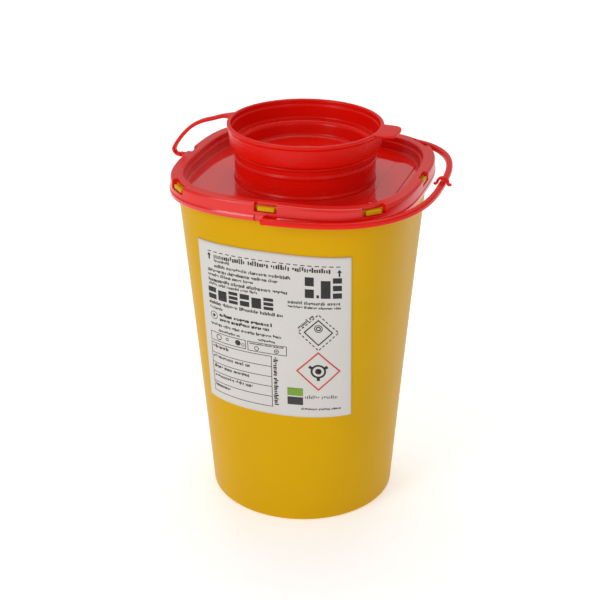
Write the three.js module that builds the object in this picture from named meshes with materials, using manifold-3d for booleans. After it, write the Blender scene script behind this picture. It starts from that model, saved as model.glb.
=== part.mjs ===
// Sharps container, 0.8 litre: a tapered bin, a snapped-on lid with a round neck, a closure cap on a
// strap, and a carry handle stowed round the lid's edge.
// Millimetres, +Z up. The origin is the middle of the flat base. The label faces -Y, the cap's strap
// is on the -X side, and the middle of the handle is on the +X side.

import * as THREE from 'three';
import { mergeVertices } from 'three/addons/utils/BufferGeometryUtils.js';
import Module from 'manifold-3d';

const wasm = await Module();
wasm.setup();

// ---- driving dimensions ----

// bin
const baseRadius = 38.5;        // the round bottom
const lidBottom = 136.9;        // height of the lid's lower edge
const binInset = 3.1;           // from the lid's side in to the bin's wall
const binWall = 1.3;
const binFloor = 1.6;
const baseEdge = 0.6;           // chamfer round the bottom
const rimWall = 1.2;            // the bin's rim, inside the lid's channel

// lid
const lidHalf = 49.7;           // half the lid's width, middle of a side
const squircle = 3.1;           // exponent of the rounded square
const lidHeight = 7.2;          // lower edge to top land
const flangeHeight = 2.4;       // the thicker lower band
const flangeStep = 0.4;         // how far that band stands out
const landWidth = 4.8;
const lidWall = 1.2;
const deckDrop = 5.7;           // top land down to the sunken deck
const ledgeDrop = 2.4;          // top land down to the ledge on the inner side
const ledgeWidth = 0.8;

// snap windows and lugs
const windowWidth = 8.8;
const windowDrop = 3.4;         // how far a window reaches down from the land
const windowDepth = 2.6;        // how far it reaches in from the side
const lugHeight = 1.6;
const lugDepth = 1.2;
const lugPlay = 1.1;            // beside a lug in its window, each side

// neck
const neckBore = 26.7;
const neckWall = 1.3;
const neckHeight = 12.8;        // above the deck
const footWidth = 0.4;
const footHeight = 0.9;
const beadBulge = 0.4;
const beadHalf = 0.8;
const beadSpacing = 3.5;

// closure cap
const capWall = 1.2;
const cupDepth = 8;             // rim down to the shoulder, inside
const plugDepth = 6.2;          // shoulder down to the floor, inside
const plugRing = 0.4;           // play between plug and neck at the shoulder
const plugTaper = 0.9;
const lipOverhang = 3;          // the lip, out past the neck's side
const lipBulge = 0.5;
const lipHeight = 1.6;
const cupTaper = 0.6;
const tabReach = 7.2;
const tabHalf = 7.6;
const tabThick = 1.2;

// strap, side view: it leaves the lip level, arches out and down, and folds in to its anchor
const strapThick = 1.5;
const strapWidth = 2.8;
const strapFlare = 9;           // width where it joins the lip
const strapReach = 6.4;         // how far the arch stands out past the lid's side
const anchorRise = 1.2;         // the anchor above the lid's flange
const anchorOut = 1.9;
const anchorHalf = 3;
const anchorHeight = 1.6;

// carry handle
const handleThick = 2.6;        // across
const handleTall = 2.4;
const handlePlay = 0.5;         // from the lid's flange to the handle's inner face, at its ends
const handleCornerPlay = 1.1;   // the same at the lid's corners
const handleRise = 1.2;         // the front arm's corner above the loop's ends
const handleTwist = 4;          // the rear arm's corner above the front arm's
const handleSquircle = 2.7;
const rootRadius = 1.3;
const pocketHalf = 4.4;
const pocketDepth = 1;
const catchHalf = 3.5;          // over the two ears
const catchArch = 1.1;          // thickness of the arch
const catchLength = 2;

// deck panel and label
const panelLength = 48;
const panelShift = 2.5;           // its middle, towards the rear
const panelMargin = 3.7;        // from the panel to the deck's edge
const panelNeckGap = 2.4;       // from the panel to the neck's foot
const panelThick = 0.4;
const panelCorner = 2;
const labelWidth = 61.4;        // straight across, at the top
const labelShift = 0.5;         // its middle, right of the front's middle
const labelNarrowing = 2;       // narrower by this at the bottom
const labelHeight = 72;
const labelBelowLid = 13.3;
const labelThick = 0.25;

// clearances
const touchGap = 0.3;           // between pieces that rest against each other
const labelGap = 0.25;

// faceting
const lidSides = 72;
const roundSides = 60;

// ---- derived places ----

const landTop = lidBottom + lidHeight;
const deckTop = landTop - deckDrop;
const deckUnder = deckTop - lidWall;
const flangeTop = lidBottom + flangeHeight;
const wallHalf = lidHalf - flangeStep;
const landInner = wallHalf - landWidth;
const deckHalf = landInner - ledgeWidth - 0.3;
const binTopHalf = lidHalf - binInset;
const rimHalf = wallHalf - lidWall - 0.7;
const rimTop = landTop - lidWall - touchGap;
const shoulderBottom = lidBottom + 1;
const neckOuter = neckBore + neckWall;
const neckTop = deckTop + neckHeight;
const cornerStretch = squircleRadius(Math.PI / 4);
const capShoulder = neckTop + touchGap;
const capTop = capShoulder + capWall + cupDepth;
const capFloorTop = capShoulder + capWall - plugDepth;
const plugTop = neckBore - plugRing;
const plugBottom = plugTop - plugTaper;
const lipRadius = neckOuter + lipOverhang;
const cupWallTop = lipRadius - lipBulge;
const cupWallBottom = cupWallTop - cupTaper;
const handleZ = lidBottom + handleTall / 2;
const handleHalfY = lidHalf + handlePlay + handleThick / 2;
const handleHalfX = handleReachAlongX();
const anchorZ = flangeTop + anchorRise + anchorHeight / 2;

// ---- helpers ----

// Radius of a unit rounded square at an angle: |x|^n + |y|^n = 1.
function squircleRadius(angle) {
  const across = Math.abs(Math.cos(angle)) ** squircle;
  const along = Math.abs(Math.sin(angle)) ** squircle;
  return (across + along) ** (-1 / squircle);
}

// Half the loop's size along X: its rounded square passes the lid's corner with the stated play.
function handleReachAlongX() {
  const corner = lidHalf * cornerStretch + handleCornerPlay + handleThick / 2;
  const share = (corner * Math.SQRT1_2) ** -handleSquircle - handleHalfY ** -handleSquircle;
  return share ** (-1 / handleSquircle);
}

// Leaves one vertex per corner and no collapsed triangles, so that the surface is closed.
function closed(geometry) {
  geometry.deleteAttribute('normal');
  geometry.deleteAttribute('uv');
  const merged = mergeVertices(geometry, 1e-4);
  const corners = merged.index.array;
  const kept = [];
  for (let i = 0; i < corners.length; i += 3) {
    const [a, b, c] = corners.slice(i, i + 3);
    if (a !== b && b !== c && c !== a) kept.push(a, b, c);
  }
  merged.setIndex(kept);
  return merged;
}

function toSolid(geometry) {
  const surface = closed(geometry);
  return new wasm.Manifold(new wasm.Mesh({
    numProp: 3,
    vertProperties: new Float32Array(surface.attributes.position.array),
    triVerts: new Uint32Array(surface.index.array),
  }));
}

function toGeometry(solid) {
  const mesh = solid.getMesh();
  const geometry = new THREE.BufferGeometry();
  geometry.setAttribute('position', new THREE.BufferAttribute(mesh.vertProperties, 3));
  geometry.setIndex(new THREE.BufferAttribute(mesh.triVerts, 1));
  return geometry;
}

// A ring-shaped or solid body turned about +Z. A profile point is [half width, height, squareness]:
// squareness 0 keeps its ring round, and 1 makes it the rounded square.
function turned(profile, sides) {
  const points = profile.map(([half, height]) => new THREE.Vector2(half, height));
  const geometry = new THREE.LatheGeometry(points, sides);
  const position = geometry.attributes.position;
  for (let i = 0; i < position.count; i++) {
    const squareness = profile[i % profile.length][2] ?? 0;
    const angle = Math.atan2(position.getZ(i), position.getX(i));
    const stretch = 1 + squareness * (squircleRadius(angle) - 1);
    position.setX(i, position.getX(i) * stretch);
    position.setZ(i, position.getZ(i) * stretch);
  }
  return geometry.rotateX(Math.PI / 2);
}

function box(width, depth, height, x, y, z) {
  return new THREE.BoxGeometry(width, depth, height).translate(x, y, z);
}

// A plate with rounded corners, standing on height z, centred on x, y.
function roundedPlate(width, depth, corner, thick, x, y, z) {
  const [w, d] = [width / 2 - corner, depth / 2 - corner];
  const outline = new THREE.Shape();
  outline.absarc(w, d, corner, 0, Math.PI / 2);
  outline.absarc(-w, d, corner, Math.PI / 2, Math.PI);
  outline.absarc(-w, -d, corner, Math.PI, 1.5 * Math.PI);
  outline.absarc(w, -d, corner, 1.5 * Math.PI, 2 * Math.PI);
  const options = { depth: thick, bevelEnabled: false, curveSegments: 4 };
  return new THREE.ExtrudeGeometry(outline, options).translate(x, y, z);
}

// An outline drawn in the XZ plane, made into a slab of the given width centred on y = 0.
function sideSlab(outline, width) {
  const options = { depth: width, bevelEnabled: false, curveSegments: 8 };
  return new THREE.ExtrudeGeometry(outline, options).rotateX(Math.PI / 2).translate(0, width / 2, 0);
}

function plastic(color, roughness) {
  return new THREE.MeshStandardMaterial({ color, roughness, metalness: 0 });
}

const container = new THREE.Group();

function addPart(name, geometry, material, place = container) {
  const mesh = new THREE.Mesh(closed(geometry), material);
  mesh.name = name;
  place.add(mesh);
  return mesh;
}

const yellowPlastic = plastic(0xd6a817, 0.35);
const redPlastic = plastic(0xc81c10, 0.3);
const redPanelPlastic = plastic(0xc02018, 0.2);
const labelPaper = plastic(0xe4e1da, 0.7);

// ---- bin ----

// The bin's side is ruled from the round bottom to the rounded square at the shoulder.
function sideRings(offset) {
  return [[baseRadius + offset, baseEdge, 0], [binTopHalf + offset, shoulderBottom, 1]];
}

function containerBody() {
  const rimInner = rimHalf - rimWall;
  return turned([
    [0, 0],
    [baseRadius - baseEdge, 0],
    ...sideRings(0),
    [rimHalf, shoulderBottom + 0.8, 1],
    [rimHalf, rimTop, 1],
    [rimInner, rimTop, 1],
    [rimInner, shoulderBottom + 1.6, 1],
    [binTopHalf - binWall, shoulderBottom + 0.6, 1],
    [baseRadius - binWall, binFloor, 0],
    [0, binFloor],
  ], lidSides);
}

addPart('container_body', containerBody(), yellowPlastic);

// ---- lid ----

const sides = ['right', 'rear_right', 'rear', 'rear_left', 'left', 'front_left', 'front', 'front_right'];

// Distance from the axis to a rounded square of this half width, at side number i of eight.
function reachAt(i, half) {
  return i % 2 ? half * cornerStretch : half;
}

function placeAt(i, geometry) {
  return geometry.rotateZ(i * Math.PI / 4);
}

function lidProfile() {
  const insideWall = wallHalf - lidWall;
  return [
    [neckBore, deckTop, 0],
    [neckBore, deckUnder, 0],
    [deckHalf + lidWall, deckUnder, 1],
    [landInner + lidWall, landTop - lidWall, 1],
    [insideWall - 0.3, landTop - lidWall, 1],
    [insideWall, flangeTop - 0.2, 1],
    [insideWall + flangeStep, lidBottom, 1],
    [lidHalf - 0.5, lidBottom, 1],
    [lidHalf, lidBottom + 0.6, 1],
    [lidHalf, flangeTop - 0.6, 1],
    [wallHalf, flangeTop, 1],
    [wallHalf - 0.1, landTop - 1, 1],
    [wallHalf - 0.3, landTop - 0.35, 1],
    [wallHalf - 0.8, landTop, 1],
    [landInner + 0.3, landTop, 1],
    [landInner, landTop - 0.3, 1],
    [landInner - 0.1, landTop - ledgeDrop, 1],
    [landInner - 0.1 - ledgeWidth, landTop - ledgeDrop, 1],
    [deckHalf, deckTop, 1],
    [neckBore, deckTop, 0],
  ];
}

function lidShell() {
  let solid = toSolid(turned(lidProfile(), lidSides));
  for (let i = 0; i < sides.length; i++) {
    const inner = reachAt(i, wallHalf) - windowDepth;
    const cutDepth = windowDepth + 3;
    const cut = box(cutDepth, windowWidth, 6, inner + cutDepth / 2, 0, landTop - windowDrop + 3);
    solid = solid.subtract(toSolid(placeAt(i, cut)));
  }
  for (const end of [-1, 1]) {
    const pocketTop = flangeTop + 0.4;
    const face = end * (lidHalf - pocketDepth + 2);
    const cut = box(2 * pocketHalf, 4, 6, 0, face, pocketTop - 3);
    solid = solid.subtract(toSolid(cut));
  }
  return toGeometry(solid);
}

addPart('lid_shell', lidShell(), redPlastic);

sides.forEach((side, i) => {
  const lugInner = reachAt(i, rimHalf) + touchGap;
  const lugBottom = landTop - windowDrop + touchGap;
  const lugWidth = windowWidth - 2 * lugPlay;
  const lug = box(lugDepth, lugWidth, lugHeight, lugInner + lugDepth / 2, 0, lugBottom + lugHeight / 2);
  addPart(`lock_lug_${side}`, placeAt(i, lug), yellowPlastic);
});

function deckPanel() {
  const inner = neckOuter + footWidth + panelNeckGap;
  const width = deckHalf - panelMargin - inner;
  const corner = Math.min(panelCorner, 0.4 * width);
  return roundedPlate(width, panelLength, corner, panelThick, inner + width / 2, panelShift, deckTop);
}

addPart('deck_panel', deckPanel(), redPanelPlastic);

// ---- neck ----

// A bead on the neck's outside: a low triangle with a flat crest, centred on a height.
function bead(height) {
  return [
    [neckOuter, height - beadHalf],
    [neckOuter + beadBulge, height - beadHalf / 3],
    [neckOuter + beadBulge, height + beadHalf / 3],
    [neckOuter, height + beadHalf],
  ];
}

function neckCollar() {
  const rimBead = neckTop - beadHalf;
  return turned([
    [neckBore, deckTop],
    [neckOuter + footWidth, deckTop],
    [neckOuter + footWidth, deckTop + footHeight - 0.4],
    [neckOuter + footWidth / 2, deckTop + footHeight],
    [neckOuter, deckTop + footHeight + 0.2],
    ...bead(rimBead - beadSpacing),
    ...bead(rimBead).slice(0, 3),
    [neckOuter, neckTop],
    [neckBore, neckTop],
    [neckBore, deckTop],
  ], roundSides);
}

addPart('neck_collar', neckCollar(), redPlastic);

// ---- closure cap ----

function closureCap() {
  const floorUnder = capFloorTop - capWall;
  const shoulderTop = capShoulder + capWall;
  const lipInner = lipRadius - 1.6;
  return turned([
    [0, floorUnder],
    [plugBottom - 0.8, floorUnder],
    [plugBottom, floorUnder + 0.8],
    [plugTop, capShoulder],
    [cupWallBottom - 0.3, capShoulder],
    [cupWallBottom, capShoulder + 0.4],
    [cupWallTop, capTop - lipHeight],
    [lipRadius, capTop - lipHeight + 0.5],
    [lipRadius, capTop - 0.3],
    [lipRadius - 0.3, capTop],
    [lipInner + 0.3, capTop],
    [lipInner, capTop - 0.4],
    [cupWallBottom - capWall, shoulderTop + 0.4],
    [plugTop - capWall + 0.5, shoulderTop],
    [plugTop - capWall, shoulderTop - 0.5],
    [plugBottom - capWall, capFloorTop + 0.8],
    [plugBottom - capWall - 1.2, capFloorTop],
    [0, capFloorTop],
  ], roundSides);
}

addPart('closure_cap', closureCap(), redPlastic);

function capTab() {
  const start = lipRadius - 4;
  const end = lipRadius + tabReach;
  const plate = roundedPlate(end - start, 2 * tabHalf, 2.6, tabThick, (start + end) / 2, 0, capTop - tabThick);
  const lip = new THREE.CylinderGeometry(lipRadius + touchGap, lipRadius + touchGap, 8, roundSides);
  const lipSolid = toSolid(lip.rotateX(Math.PI / 2).translate(0, 0, capTop));
  return toGeometry(toSolid(plate).subtract(lipSolid));
}

addPart('cap_tab', capTab(), redPlastic);

// ---- strap ----

// Centre line of the strap in the XZ plane, from the lip to the anchor.
function strapLine() {
  const start = -(lipRadius + touchGap);
  const out = -(lidHalf + strapReach - strapThick / 2);
  const anchorFace = -(wallHalf + touchGap + anchorOut + touchGap);
  const level = capTop - strapThick / 2;
  const arch = [[0, 0], [0.13, 0.025], [0.3, 0.1], [0.5, 0.19], [0.68, 0.33], [0.88, 0.61], [1, 0.9]];
  const points = arch.map(([over, down]) => new THREE.Vector3(
    start + (out - start) * over,
    0,
    level + (anchorZ - level) * down,
  ));
  points.push(new THREE.Vector3(out + 1, 0, anchorZ + 0.2));
  points.push(new THREE.Vector3(anchorFace - 1.2, 0, anchorZ));
  points.push(new THREE.Vector3(anchorFace, 0, anchorZ));
  return new THREE.CatmullRomCurve3(points, false, 'centripetal');
}

function capStrap() {
  const steps = 22;
  const section = new THREE.Shape();
  const [t, w] = [strapThick / 2, strapWidth / 2];
  section.moveTo(-t, -w).lineTo(t, -w).lineTo(t, w).lineTo(-t, w).closePath();
  const ribbon = new THREE.ExtrudeGeometry(section, { steps, extrudePath: strapLine(), bevelEnabled: false });
  const [front, lipEdge] = [-(lipRadius + touchGap) - 5, -(lipRadius - 3)];
  const flare = new THREE.Shape();
  flare.moveTo(front, -strapWidth / 2).lineTo(lipEdge, -strapFlare / 2);
  flare.lineTo(lipEdge, strapFlare / 2).lineTo(front, strapWidth / 2).closePath();
  const plate = new THREE.ExtrudeGeometry(flare, { depth: strapThick, bevelEnabled: false });
  plate.translate(0, 0, capTop - strapThick);
  const lip = new THREE.CylinderGeometry(lipRadius + touchGap, lipRadius + touchGap, 8, roundSides);
  const lipSolid = toSolid(lip.rotateX(Math.PI / 2).translate(0, 0, capTop));
  return toGeometry(toSolid(ribbon).add(toSolid(plate)).subtract(lipSolid));
}

addPart('cap_strap', capStrap(), redPlastic);

function strapAnchor() {
  const inner = wallHalf + touchGap;
  return box(anchorOut, 2 * anchorHalf, anchorHeight, -(inner + anchorOut / 2), 0, anchorZ);
}

addPart('strap_anchor', strapAnchor(), redPlastic);

// ---- carry handle ----

// Height of the handle's centre line: it rises towards the loop's middle, and more on the rear arm.
function handleHeight(x, y) {
  const [out, back] = [x / handleHalfX, (1 + y / handleHalfY) / 2];
  return handleZ + out * (handleRise + handleTwist * back);
}

// Centre line of the handle: half a rounded square in plan.
function handleLine() {
  const points = [];
  const count = 48;
  for (let i = 0; i <= count; i++) {
    const angle = Math.PI * (i / count - 0.5);
    const x = handleHalfX * Math.cos(angle) ** (2 / handleSquircle);
    const y = handleHalfY * Math.sign(angle) * Math.abs(Math.sin(angle)) ** (2 / handleSquircle);
    points.push(new THREE.Vector3(x, y, handleHeight(x, y)));
  }
  return new THREE.CatmullRomCurve3(points, false, 'centripetal');
}

function carryHandle() {
  const section = new THREE.Shape();
  const [t, h, c] = [handleTall / 2, handleThick / 2, 0.5];
  section.moveTo(-t + c, -h).lineTo(t - c, -h).lineTo(t, -h + c).lineTo(t, h - c);
  section.lineTo(t - c, h).lineTo(-t + c, h).lineTo(-t, h - c).lineTo(-t, -h + c).closePath();
  const options = { steps: 44, extrudePath: handleLine(), bevelEnabled: false };
  let solid = toSolid(new THREE.ExtrudeGeometry(section, options));
  for (const end of [-1, 1]) {
    const eye = new THREE.CylinderGeometry(handleTall / 2, handleTall / 2, handleThick, 16);
    solid = solid.add(toSolid(eye.translate(0, end * handleHalfY, handleZ)));
  }
  return toGeometry(solid);
}

addPart('carry_handle', carryHandle(), redPlastic);

function handleCatch() {
  const inner = handleThick / 2 + touchGap;
  const outer = inner + catchArch;
  const earThick = 0.9;
  const outline = new THREE.Shape();
  outline.moveTo(catchHalf, 0).lineTo(catchHalf, earThick).lineTo(outer, earThick);
  outline.absarc(0, earThick, outer, 0, Math.PI, false);
  outline.lineTo(-catchHalf, earThick).lineTo(-catchHalf, 0).lineTo(-inner, 0);
  outline.lineTo(-inner, earThick);
  outline.absarc(0, earThick, inner, Math.PI, 0, true);
  outline.lineTo(inner, 0).closePath();
  const middle = handleHeight(handleHalfX, 0);
  return sideSlab(outline, catchLength).translate(handleHalfX, 0, middle - earThick / 2);
}

addPart('handle_catch', handleCatch(), redPlastic);

for (const [name, end] of [['front', -1], ['rear', 1]]) {
  const start = lidHalf - pocketDepth + touchGap;
  const finish = handleHalfY - handleThick / 2 - touchGap;
  const boss = new THREE.CylinderGeometry(rootRadius, rootRadius, finish - start, 16);
  boss.translate(0, end * (start + finish) / 2, handleZ);
  addPart(`handle_root_${name}`, boss, redPlastic);
}

// ---- label ----

// The bin's outside, grown by an offset, as a plain solid.
function grownSide(offset) {
  return toSolid(turned([[0, baseEdge], ...sideRings(offset), [0, shoulderBottom]], lidSides));
}

function label() {
  const wall = grownSide(labelGap + labelThick).subtract(grownSide(labelGap));
  const top = lidBottom - labelBelowLid;
  const bottom = top - labelHeight;
  const [w, v] = [labelWidth / 2, (labelWidth - labelNarrowing) / 2];
  const outline = new THREE.Shape();
  outline.moveTo(-v, bottom).lineTo(v, bottom).lineTo(w, top).lineTo(-w, top).closePath();
  const reach = 2 * lidHalf;
  const options = { depth: reach, bevelEnabled: false };
  const cutter = new THREE.ExtrudeGeometry(outline, options);
  cutter.rotateX(Math.PI / 2).translate(labelShift, 0, 0);
  return toGeometry(wall.intersect(toSolid(cutter)));
}

addPart('label', label(), labelPaper);

export default container;
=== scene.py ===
"""Finished surfaces, materials and studio for a small sharps container.

A tapered yellow bin, a snapped-on red lid with a round neck, a closure cap on a strap, a carry
handle stowed round the lid, and a printed paper label. Metres, +Z up, label towards -Y.
"""

import math

import bpy
import numpy as np
from mathutils import Matrix, Vector


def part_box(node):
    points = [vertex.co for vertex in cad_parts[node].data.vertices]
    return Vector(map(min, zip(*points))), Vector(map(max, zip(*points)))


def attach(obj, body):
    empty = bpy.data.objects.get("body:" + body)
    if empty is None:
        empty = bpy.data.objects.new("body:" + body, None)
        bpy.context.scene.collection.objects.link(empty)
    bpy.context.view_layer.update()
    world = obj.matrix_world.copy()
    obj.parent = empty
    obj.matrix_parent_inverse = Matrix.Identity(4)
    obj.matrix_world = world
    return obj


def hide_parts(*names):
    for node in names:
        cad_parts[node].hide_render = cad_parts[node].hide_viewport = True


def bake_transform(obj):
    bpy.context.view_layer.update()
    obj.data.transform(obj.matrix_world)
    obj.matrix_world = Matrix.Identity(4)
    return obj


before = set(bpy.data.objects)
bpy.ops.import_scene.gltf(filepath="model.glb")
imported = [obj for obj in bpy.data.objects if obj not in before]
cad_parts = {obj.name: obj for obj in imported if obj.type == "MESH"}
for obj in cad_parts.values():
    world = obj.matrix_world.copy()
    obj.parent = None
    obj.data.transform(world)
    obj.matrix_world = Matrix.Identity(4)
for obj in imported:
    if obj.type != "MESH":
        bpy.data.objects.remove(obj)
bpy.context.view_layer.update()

bl_info = {
    "name": "Sharps Container",
    "version": (1, 0, 0),
    "blender": (4, 5, 0),
    "location": "View3D > Sidebar > Container",
    "description": "Bin, lid, closure cap, strap, handle, label and studio of a sharps container",
    "category": "Add Mesh",
}

# ---- places taken from the frame ----

BIN_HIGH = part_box("container_body")[1]
LID_LOW, LID_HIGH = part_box("lid_shell")
NECK_LOW, NECK_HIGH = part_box("neck_collar")
CAP_LOW, CAP_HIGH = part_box("closure_cap")
TAB_LOW, TAB_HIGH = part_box("cap_tab")
STRAP_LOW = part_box("cap_strap")[0]
ANCHOR_LOW, ANCHOR_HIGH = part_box("strap_anchor")
HANDLE_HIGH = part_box("carry_handle")[1]
CATCH_LOW, CATCH_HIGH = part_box("handle_catch")
PANEL_LOW, PANEL_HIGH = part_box("deck_panel")
LABEL_LOW, LABEL_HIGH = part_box("label")
SIDES = ("right", "rear_right", "rear", "rear_left", "left", "front_left", "front", "front_right")

UP = np.array([0.0, 0.0, 1.0])


# ---- sizes and colours ----

def length(name, description, default):
    return bpy.props.FloatProperty(
        name=name, description=description, default=default, unit="LENGTH", precision=5
    )


def plain(name, description, default):
    return bpy.props.FloatProperty(name=name, description=description, default=default)


def tilt(name, description, degrees):
    return bpy.props.FloatProperty(
        name=name, description=description, default=math.radians(degrees), subtype="ANGLE"
    )


def paint(name, description, red, green, blue):
    """A colour given as screen values from 0 to 255, stored as linear light."""
    screen = np.array([red, green, blue]) / 255
    linear = np.where(screen <= 0.04045, screen / 12.92, ((screen + 0.055) / 1.055) ** 2.4)
    return bpy.props.FloatVectorProperty(
        name=name, description=description, subtype="COLOR", size=3, min=0, max=1, default=linear.tolist()
    )


class BinSizes(bpy.types.PropertyGroup):
    round_radius: length("Base radius", "Radius of the round bottom", 0.0385)
    edge: length("Base edge", "Height of the rounded edge round the bottom", 0.0006)
    shoulder_half: length("Shoulder half width", "Half the bin's width under the lid", LID_HIGH.x - 0.0031)
    shoulder_height: length("Shoulder height", "Height where the bin meets the lid", LID_LOW.z + 0.001)
    wall: length("Wall", "Thickness of the side", 0.0013)
    floor: length("Floor", "Thickness of the floor", 0.0016)
    rim_wall: length("Rim wall", "Thickness of the rim inside the lid", 0.0012)
    foot_width: length("Foot width", "Width of the ring that the bin stands on", 0.0036)
    foot_recess: length("Foot recess", "How far the bottom is sunk inside that ring", 0.0007)
    squareness: plain("Squareness", "Exponent of the rounded square", 3.1)


class LidSizes(bpy.types.PropertyGroup):
    wall: length("Wall", "Thickness of the lid", 0.0012)
    flange_height: length("Flange height", "Height of the thicker lower band", 0.0024)
    flange_step: length("Flange step", "How far that band stands out", 0.0004)
    land_width: length("Land width", "Width of the flat top border", 0.0048)
    ledge_drop: length("Ledge drop", "Border down to the ledge on its inner side", 0.0024)
    ledge_width: length("Ledge width", "Width of that ledge", 0.0008)
    window_width: length("Window width", "Width of a snap window", 0.0088)
    window_drop: length("Window drop", "How far a window reaches down", 0.0034)
    window_depth: length("Window depth", "How far a window reaches in", 0.0022)
    pocket_depth: length("Pocket depth", "Depth of the pocket at each end of the handle", 0.001)
    lug_depth: length("Lug depth", "Thickness of a lock lug", 0.0012)


class NeckSizes(bpy.types.PropertyGroup):
    bore: length("Bore", "Radius of the opening", 0.0267)
    side: length("Side", "Radius of the neck's outside", 0.028)
    bead: length("Bead", "How far a bead stands out", 0.0004)
    bead_half: length("Bead half height", "Half the height of a bead at its root", 0.0009)
    bead_crest: length("Bead crest", "Half the height of a bead's crest", 0.0003)
    rim_bead: length("Rim bead", "From the rim down to the middle of the upper bead", 0.0008)
    bead_spacing: length("Bead spacing", "From bead to bead", 0.0035)


class CapSizes(bpy.types.PropertyGroup):
    wall: length("Wall", "Thickness of the cap", 0.0012)
    shoulder: length("Shoulder height", "Underside of the cap's shoulder", NECK_HIGH.z + 0.0003)
    plug_top: length("Plug radius, top", "Plug radius at the shoulder", 0.0263)
    plug_bottom: length("Plug radius, bottom", "Plug radius at the floor", 0.0254)
    cup_top: length("Cup radius, top", "Cup radius under the lip", 0.0305)
    cup_bottom: length("Cup radius, bottom", "Cup radius at the shoulder", 0.0299)
    lip_height: length("Lip height", "Height of the lip", 0.0016)
    lip_width: length("Lip width", "Width of the lip", 0.0016)


class StrapSizes(bpy.types.PropertyGroup):
    thick: length("Thickness", "Thickness of the strap", 0.0015)
    hinge: length("Hinge thickness", "Thickness at the fold", 0.0009)
    width: length("Width", "Width of the strap", 0.0028)
    flare: length("Flare", "Width where the strap joins the lip", 0.009)
    flare_length: length("Flare length", "Length over which it narrows", 0.0055)


class HandleSizes(bpy.types.PropertyGroup):
    wide: length("Width", "Handle's width, seen from above", 0.0026)
    tall: length("Height", "Handle's height, seen from the side", 0.0024)
    rise: length("Rise", "Front arm's corner above the loop's ends", 0.0012)
    twist: length("Twist", "Rear arm's corner above the front arm's", 0.004)
    squareness: plain("Squareness", "Exponent of the loop's rounded square", 2.7)
    arch: length("Catch arch", "Thickness of the catch's arch", 0.0011)
    ear: length("Catch ear", "Thickness of the catch's ears", 0.0009)


class LabelSizes(bpy.types.PropertyGroup):
    width: length("Width", "Straight width at the top", 0.0614)
    narrowing: length("Narrowing", "How much narrower it is at the bottom", 0.002)
    shift: length("Shift", "The label's middle from the front's middle", 0.0005)
    thick: length("Thickness", "Thickness of the paper", 0.00026)
    print_drop: length("Print drop", "The sheet's upper edge down to where the print's layout starts", 0.0017)
    drawn_half: length("Drawn half width", "Half width that the print was laid out on", 0.032)


class Finishes(bpy.types.PropertyGroup):
    yellow: paint("Yellow", "Bin plastic", 211, 162, 0)
    red: paint("Red", "Lid, cap, strap and handle plastic", 228, 18, 3)
    paper: paint("Paper", "Label paper", 210, 206, 201)
    black: paint("Black ink", "Label print", 22, 20, 20)
    grey: paint("Grey ink", "Fine label print", 48, 45, 44)
    signal: paint("Red ink", "Outline of the red sign", 206, 66, 42)
    green: paint("Green ink", "Upper block beside the last line", 116, 160, 36)
    floor: paint("Floor", "Studio floor", 246, 246, 246)


class StudioSizes(bpy.types.PropertyGroup):
    distance: length("Camera distance", "Camera to the container's axis, level", 0.5402)
    height: length("Camera height", "Camera above the floor", 0.3373)
    turn: tilt("Camera turn", "Camera round the axis from the front", 17.3)
    pitch: tilt("Camera pitch", "Camera downwards from level", 25.19)
    roll: tilt("Camera roll", "Camera about its own axis", 0.49)
    lens: plain("Lens", "Focal length in millimetres", 86.1)
    surround: plain("Surround", "Strength of the white surroundings", 0.46)
    key: plain("Key light", "Power of the large soft box, in watts", 4.0)
    fill: plain("Fill light", "Power of the narrow soft box, in watts", 0.7)
    top: plain("Top light", "Power of the overhead soft box, in watts", 4.6)


GROUPS = {
    "container_bin": BinSizes,
    "container_lid": LidSizes,
    "container_neck": NeckSizes,
    "container_cap": CapSizes,
    "container_strap": StrapSizes,
    "container_handle": HandleSizes,
    "container_label": LabelSizes,
    "container_finish": Finishes,
    "container_studio": StudioSizes,
}


# ---- surfaces ----

def rounded_square(angle, power):
    """Radius of a unit rounded square: (|cos|^n + |sin|^n)^(-1/n)."""
    return (np.abs(np.cos(angle)) ** power + np.abs(np.sin(angle)) ** power) ** (-1 / power)


def even_angles(count):
    return np.arange(count) * 2 * math.pi / count


def soften(corners, looped, steps=4):
    """Rounds the corners of a profile whose rows are round part, square part, height and corner size.

    A corner P becomes P + (A-P)(1-s)^2 + (B-P)s^2, where A and B lie the corner size away along its
    two edges, a third of the edge at most. One more point past A and past B keeps the flats flat.
    """
    corners = np.array(corners, float)
    place, size = corners[:, :3], corners[:, 3:4]
    to_a = np.roll(place, 1, 0) - place
    to_b = np.roll(place, -1, 0) - place
    to_a *= np.minimum(size / np.linalg.norm(to_a, axis=1, keepdims=True).clip(1e-9), 0.33)
    to_b *= np.minimum(size / np.linalg.norm(to_b, axis=1, keepdims=True).clip(1e-9), 0.33)
    s = np.linspace(0, 1, steps)
    weight_a = np.concatenate([[1.4], (1 - s) ** 2, [0]])[None, :, None]
    weight_b = np.concatenate([[0], s**2, [1.4]])[None, :, None]
    soft = place[:, None] + weight_a * to_a[:, None] + weight_b * to_b[:, None]
    if looped:
        return soft.reshape(-1, 3)
    return np.concatenate([place[:1], soft[1:-1].reshape(-1, 3), place[-1:]])


def turned(rows, angles, power=2.0):
    """Turns profile rows about +Z: radius = round part + square part x rounded square(angle)."""
    rows = rows if rows.ndim == 3 else rows[:, None]
    radius = rows[..., 0] + rows[..., 1] * rounded_square(angles, power)
    height = np.broadcast_to(rows[..., 2], radius.shape)
    return np.stack([radius * np.cos(angles), radius * np.sin(angles), height], -1)


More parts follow.
